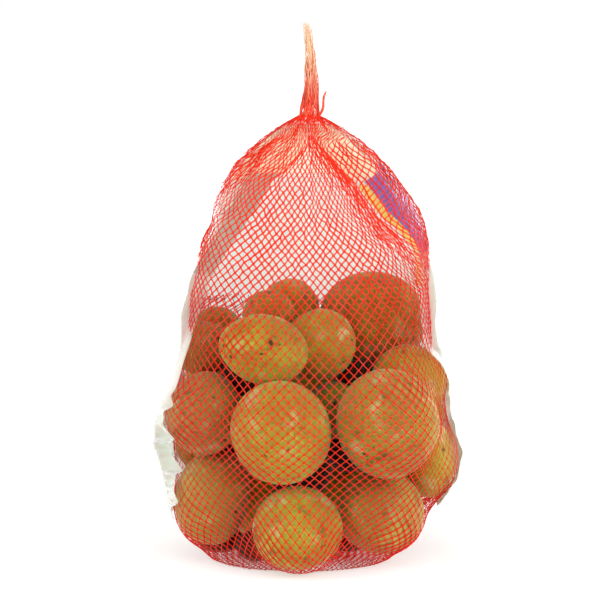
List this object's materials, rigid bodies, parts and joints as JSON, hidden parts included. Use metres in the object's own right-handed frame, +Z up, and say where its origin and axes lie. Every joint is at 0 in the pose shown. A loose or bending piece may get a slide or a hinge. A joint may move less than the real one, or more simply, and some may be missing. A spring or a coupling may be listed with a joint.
{
  "type": "net of potatoes",
  "caption": "Plastic mesh net filled with loose round potatoes, gathered to a tail at the top, with a white film band welded up each side.",
  "frame": {"origin": "middle of the flat base, under the neck", "axes": "+Z up through the gathered neck and tail, -Y the front, +X to the right as seen from the front"},
  "size_m": [0.2165, 0.1693, 0.365],
  "materials": {
    "net": "satin",
    "film": "gloss",
    "potato_skin": "matte"
  },
  "bodies": {
    "root": {"net_bag": "net", "net_tail": "net", "film_band_left": "film", "film_band_right": "film"}
  },
  "joints": []
}
